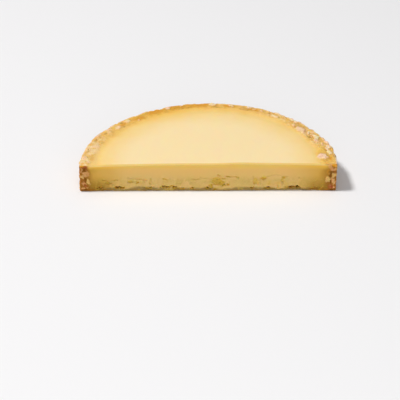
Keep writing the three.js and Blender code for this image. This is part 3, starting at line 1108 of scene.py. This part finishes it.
def pasteColour(tree, here, fine):
    paste, looks = pasteColours, pasteLooks
    cloud = spread(tree, uneven(tree, here, *looks["cloud"]), *looks["cloudFrom"],
                   -looks["cloudReach"], looks["cloudReach"], smooth=False)
    flat = addNode(tree, "ShaderNodeVectorMath", {0: here, 1: (1, 1, 0)}, operation="MULTIPLY").outputs[0]
    reach = addNode(tree, "ShaderNodeVectorMath", {0: flat}, operation="LENGTH").outputs["Value"]
    reach = combine(tree, "ADD", reach, cloud)
    height = addNode(tree, "ShaderNodeSeparateXYZ", {"Vector": here}).outputs["Z"]

    def driedOut(name):
        # 0 to 1 as the paste dries out towards the rind
        start, end = looks[name]
        return spread(tree, reach, bodyRadius - start, bodyRadius - end)

    def upTo(name):
        return spread(tree, height, *looks[name])

    top = mixColour(tree, driedOut("golden"), paste["butter"], paste["golden"])
    top = mixColour(tree, driedOut("amber"), top, paste["amber"])
    dried = combine(tree, "MULTIPLY", painted(tree, "dried"), looks["driedShare"])
    top = mixColour(tree, dried, top, paste["driest"])

    cut = mixColour(tree, upTo("wheatHeight"), paste["straw"], paste["wheat"])
    cut = mixColour(tree, driedOut("honey"), cut, paste["honey"])
    cut = mixColour(tree, driedOut("toffee"), cut, paste["toffee"])
    lowDry = combine(tree, "MULTIPLY", driedOut("lowDry"), upTo("lowHeight"))
    cut = mixColour(tree, lowDry, cut, paste["caramel"])
    # painted glow along the top of the cut, more golden near the rind
    upperGlow = mixColour(tree, driedOut("upperGlowDry"), paste["upperGlow"], paste["upperGlowDry"])
    cut = mixColour(tree, upTo("upperGlowHeight"), cut, upperGlow)
    curdNumber, isCurd = painted(tree, "curdPale"), painted(tree, "curd")
    curdTint = mixColour(tree, curdNumber, paste["curdDark"], paste["curdPale"])
    cut = mixColour(tree, isCurd, cut, tinted(tree, cut, curdTint))
    # painted shade along the foot of the cut
    footColour = mixColour(tree, driedOut("lowDry"), paste["foot"], paste["footDry"])
    cut = mixColour(tree, painted(tree, "foot"), cut, footColour)

    # the top is paler than the cut: partly the paste's own colours, partly painted light on the top and
    # painted shade on the cut
    inside = mixColour(tree, painted(tree, "cut"), top, cut)
    # painted shading: a darker golden line on the rounded edge between the top and the cut
    inside = mixColour(tree, painted(tree, "edge"), inside, paste["edge"])
    # gaps: partly the curd's own deeper yellow, partly painted shade, darkest at the back
    hollowShade = painted(tree, "hollowShade")
    hollowShadeColour = mixColour(tree, curdNumber, paste["hollowShade"], paste["hollowShadePale"])
    inside = mixColour(tree, spread(tree, hollowShade, *looks["hollowShade"]), inside, hollowShadeColour)
    inside = mixColour(tree, spread(tree, hollowShade, *looks["deep"]), inside, paste["deep"])
    grainTint = mixColour(tree, fine["Shade"], paste["grainDark"], paste["grainPale"])
    grainy = combine(tree, "MULTIPLY", isCurd, looks["grainShare"])
    return mixColour(tree, grainy, inside, tinted(tree, inside, grainTint))


def crustColour(tree, here, dirt, mottle):
    rind, looks = crustColours, crustLooks

    def mottled(name, lump):
        return useGroup(tree, mottle, {
            "Vector": here, "Scale": looks[name + "Scale"], "Lump": lump, "Pale": rind[name + "Pale"],
            "Middle": rind[name + "Middle"], "Dark": rind[name + "Dark"]})["Color"]

    onCut = painted(tree, "cut")
    ring = mottled("ring", looks["ringLump"])
    dried = combine(tree, "MULTIPLY", painted(tree, "dried"), pasteLooks["driedShare"])
    ring = mixColour(tree, dried, ring, pasteColours["driest"])
    ring = mixColour(tree, onCut, ring, tinted(tree, ring, rind["endGround"]))
    cream, pink, orange, crevice = (
        mixColour(tree, onCut, rind[name], rind["end" + name.capitalize()])
        for name in ("cream", "pink", "orange", "crevice"))
    ring = mixColour(tree, painted(tree, "orange"), ring, orange)
    ring = mixColour(tree, painted(tree, "red"), ring, rind["endRed"])
    # painted shade in the crevices
    ring = mixColour(tree, painted(tree, "crevice"), ring, crevice)

    # the pale lumps are uneven in colour, and crumble away at their edges
    patch = uneven(tree, here, *looks["patches"])
    chunk = painted(tree, "chunk")
    worn = combine(tree, "ADD", chunk, spread(tree, patch, *looks["wear"]))
    chunk = combine(tree, "MULTIPLY", chunk, spread(tree, worn, *looks["worn"]))
    chunkTint = mixColour(tree, spread(tree, patch, *looks["patch"]), rind["chunkDark"], rind["chunkPale"])
    pale = mixColour(tree, painted(tree, "pink"), cream, pink)
    ring = mixColour(tree, chunk, ring, tinted(tree, pale, chunkTint))
    outside = mixColour(tree, painted(tree, "skin"), ring, mottled("skin", painted(tree, "level")))
    return tinted(tree, outside, mixColour(tree, dirt["Shade"], rind["dirtDark"], rind["dirtPale"]))


def makeCheese(grain, mottle):
    material, tree, shader, here = newMaterial("pressed cheese", cheeseShader)
    surface = cheeseSurface
    fine = useGroup(tree, grain, {"Vector": here, "Scale": pasteLooks["grainScale"]})
    dirt = useGroup(tree, grain, {"Vector": here, "Scale": crustLooks["dirtScale"]})
    isCrust = painted(tree, "crust")
    colour = mixColour(tree, isCrust, pasteColour(tree, here, fine), crustColour(tree, here, dirt, mottle))
    tree.links.new(colour, shader.inputs["Base Color"])

    dull = spread(tree, isCrust, 0, 1, *surface["roughness"])
    grainy = spread(tree, fine["Shade"], 0, 1, -surface["roughGrain"], surface["roughGrain"])
    tree.links.new(combine(tree, "ADD", dull, grainy), shader.inputs["Roughness"])
    relief = surface["relief"]["paste"]
    for name in ("curd", "crust"):
        part = combine(tree, "MULTIPLY", painted(tree, name), surface["relief"][name])
        relief = combine(tree, "ADD", part, relief)
    height = combine(tree, "MULTIPLY", dirt["Height"], relief)
    addBump(tree, shader, height, surface["bumpDistance"], surface["bumpStrength"])
    return material


flakeColours = {
    "cream": tone(252, 226, 190),
    "pink": tone(246, 206, 182),
    "middle": tone(244, 206, 154),
    "dark": tone(216, 158, 92),
}
flakeShader = {
    "Subsurface Weight": 0.15,
    "Subsurface Scale": 2 * mm,
    "Subsurface Radius": (1.0, 0.6, 0.3),
}
flakeSurface = {
    "pink": (0.2, 0.8),
    "mottleScale": 240.0,
    "grainScale": 900.0,
    "roughness": (0.6, 0.8),
    "bumpDistance": 0.4 * mm,
    "bumpStrength": 0.7,
}


def makeFlakeMaterial(grain, mottle):
    material, tree, shader, here = newMaterial("pale crust", flakeShader)
    surface = flakeSurface
    fine = useGroup(tree, grain, {"Vector": here, "Scale": surface["grainScale"]})
    shade = painted(tree, "shade")
    isPink = spread(tree, shade, *surface["pink"])
    pale = mixColour(tree, isPink, flakeColours["cream"], flakeColours["pink"])
    colour = useGroup(tree, mottle, {
        "Vector": here, "Scale": surface["mottleScale"], "Lump": shade, "Pale": pale,
        "Middle": flakeColours["middle"], "Dark": flakeColours["dark"]})["Color"]
    tree.links.new(colour, shader.inputs["Base Color"])
    tree.links.new(spread(tree, fine["Shade"], 0, 1, *surface["roughness"]), shader.inputs["Roughness"])
    addBump(tree, shader, fine["Height"], surface["bumpDistance"], surface["bumpStrength"])
    return material


# the view, the floor and the light

photoView = {
    "lens": 120,
    "sensor": 36,
    "distance": 1.984,
    "elevation": 32.29,
    "azimuth": -0.32,
    "roll": -0.25,
    "aimLeft": 13.1 * mm,  # the middle of the picture lies this far left of the cut's foot
    "aimDown": 13.4 * mm,
}


def addCamera():
    view = photoView
    azimuth, elevation = math.radians(view["azimuth"]), math.radians(view["elevation"])
    level = math.cos(elevation)
    back = Vector((math.sin(azimuth) * level, -math.cos(azimuth) * level, math.sin(elevation)))
    right = Vector((math.cos(azimuth), math.sin(azimuth), 0))
    up = back.cross(right)
    cutFoot = Vector((axisX, axisY, 0))
    data = bpy.data.cameras.new("photo view")
    data.lens = view["lens"]
    data.sensor_width = view["sensor"]
    camera = bpy.data.objects.new("photo view", data)
    scene.collection.objects.link(camera)
    camera.location = cutFoot + back * view["distance"]
    aim = cutFoot - right * view["aimLeft"] - up * view["aimDown"]
    turn = (aim - camera.location).to_track_quat("-Z", "Y")
    camera.rotation_mode = "QUATERNION"
    camera.rotation_quaternion = turn @ Quaternion((0, 0, 1), math.radians(view["roll"]))
    scene.camera = camera


studio = {
    "floor": tone(240, 239, 239),
    "floorSize": 8,
    "floorDrop": 0.2 * mm,  # below the underside
    "floorRoughness": 0.9,
    "sky": tone(250, 251, 255),
    "skyStrength": 0.2,
    "lamps": [  # name, place, size, power
        ("key", (-3.6, -0.24, 6.45), 1.2, 407),
        ("overhead", (0.2, 0.1, 2.2), 2.0, 7.8),
        ("fill", (0.3, -2.2, 1.0), 1.6, 10.7),
    ],
}


def addStudio():
    bm = bmesh.new()
    bmesh.ops.create_grid(bm, x_segments=1, y_segments=1, size=studio["floorSize"] / 2,
                          matrix=Matrix.Translation((0, 0, -studio["floorDrop"])))
    floor = objectFrom(bm, "floor")
    material = bpy.data.materials.new("floor")
    material.use_nodes = True
    shader = material.node_tree.nodes["Principled BSDF"]
    shader.inputs["Base Color"].default_value = studio["floor"]
    shader.inputs["Roughness"].default_value = studio["floorRoughness"]
    floor.data.materials.append(material)

    for name, place, size, power in studio["lamps"]:
        data = bpy.data.lights.new(name, "AREA")
        data.size = size
        data.energy = power
        lamp = bpy.data.objects.new(name, data)
        scene.collection.objects.link(lamp)
        lamp.location = place
        lamp.rotation_euler = (-Vector(place)).to_track_quat("-Z", "Y").to_euler()

    world = bpy.data.worlds.new("studio")
    world.use_nodes = True
    sky = world.node_tree.nodes["Background"]
    sky.inputs["Color"].default_value = studio["sky"]
    sky.inputs["Strength"].default_value = studio["skyStrength"]
    scene.world = world
    scene.view_settings.view_transform = "Standard"


# making it all

addCamera()
addStudio()
print("view and studio set")

grainGroup = makeGrainGroup()
mottleGroup = makeMottleGroup()

cheese = makeBody()
carveBody(cheese)
cheese.data.materials.append(makeCheese(grainGroup, mottleGroup))
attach(cheese, "root")
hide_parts("half_wheel")

rindFlakes = makeFlakes()
rindFlakes.data.materials.append(makeFlakeMaterial(grainGroup, mottleGroup))
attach(rindFlakes, "root")
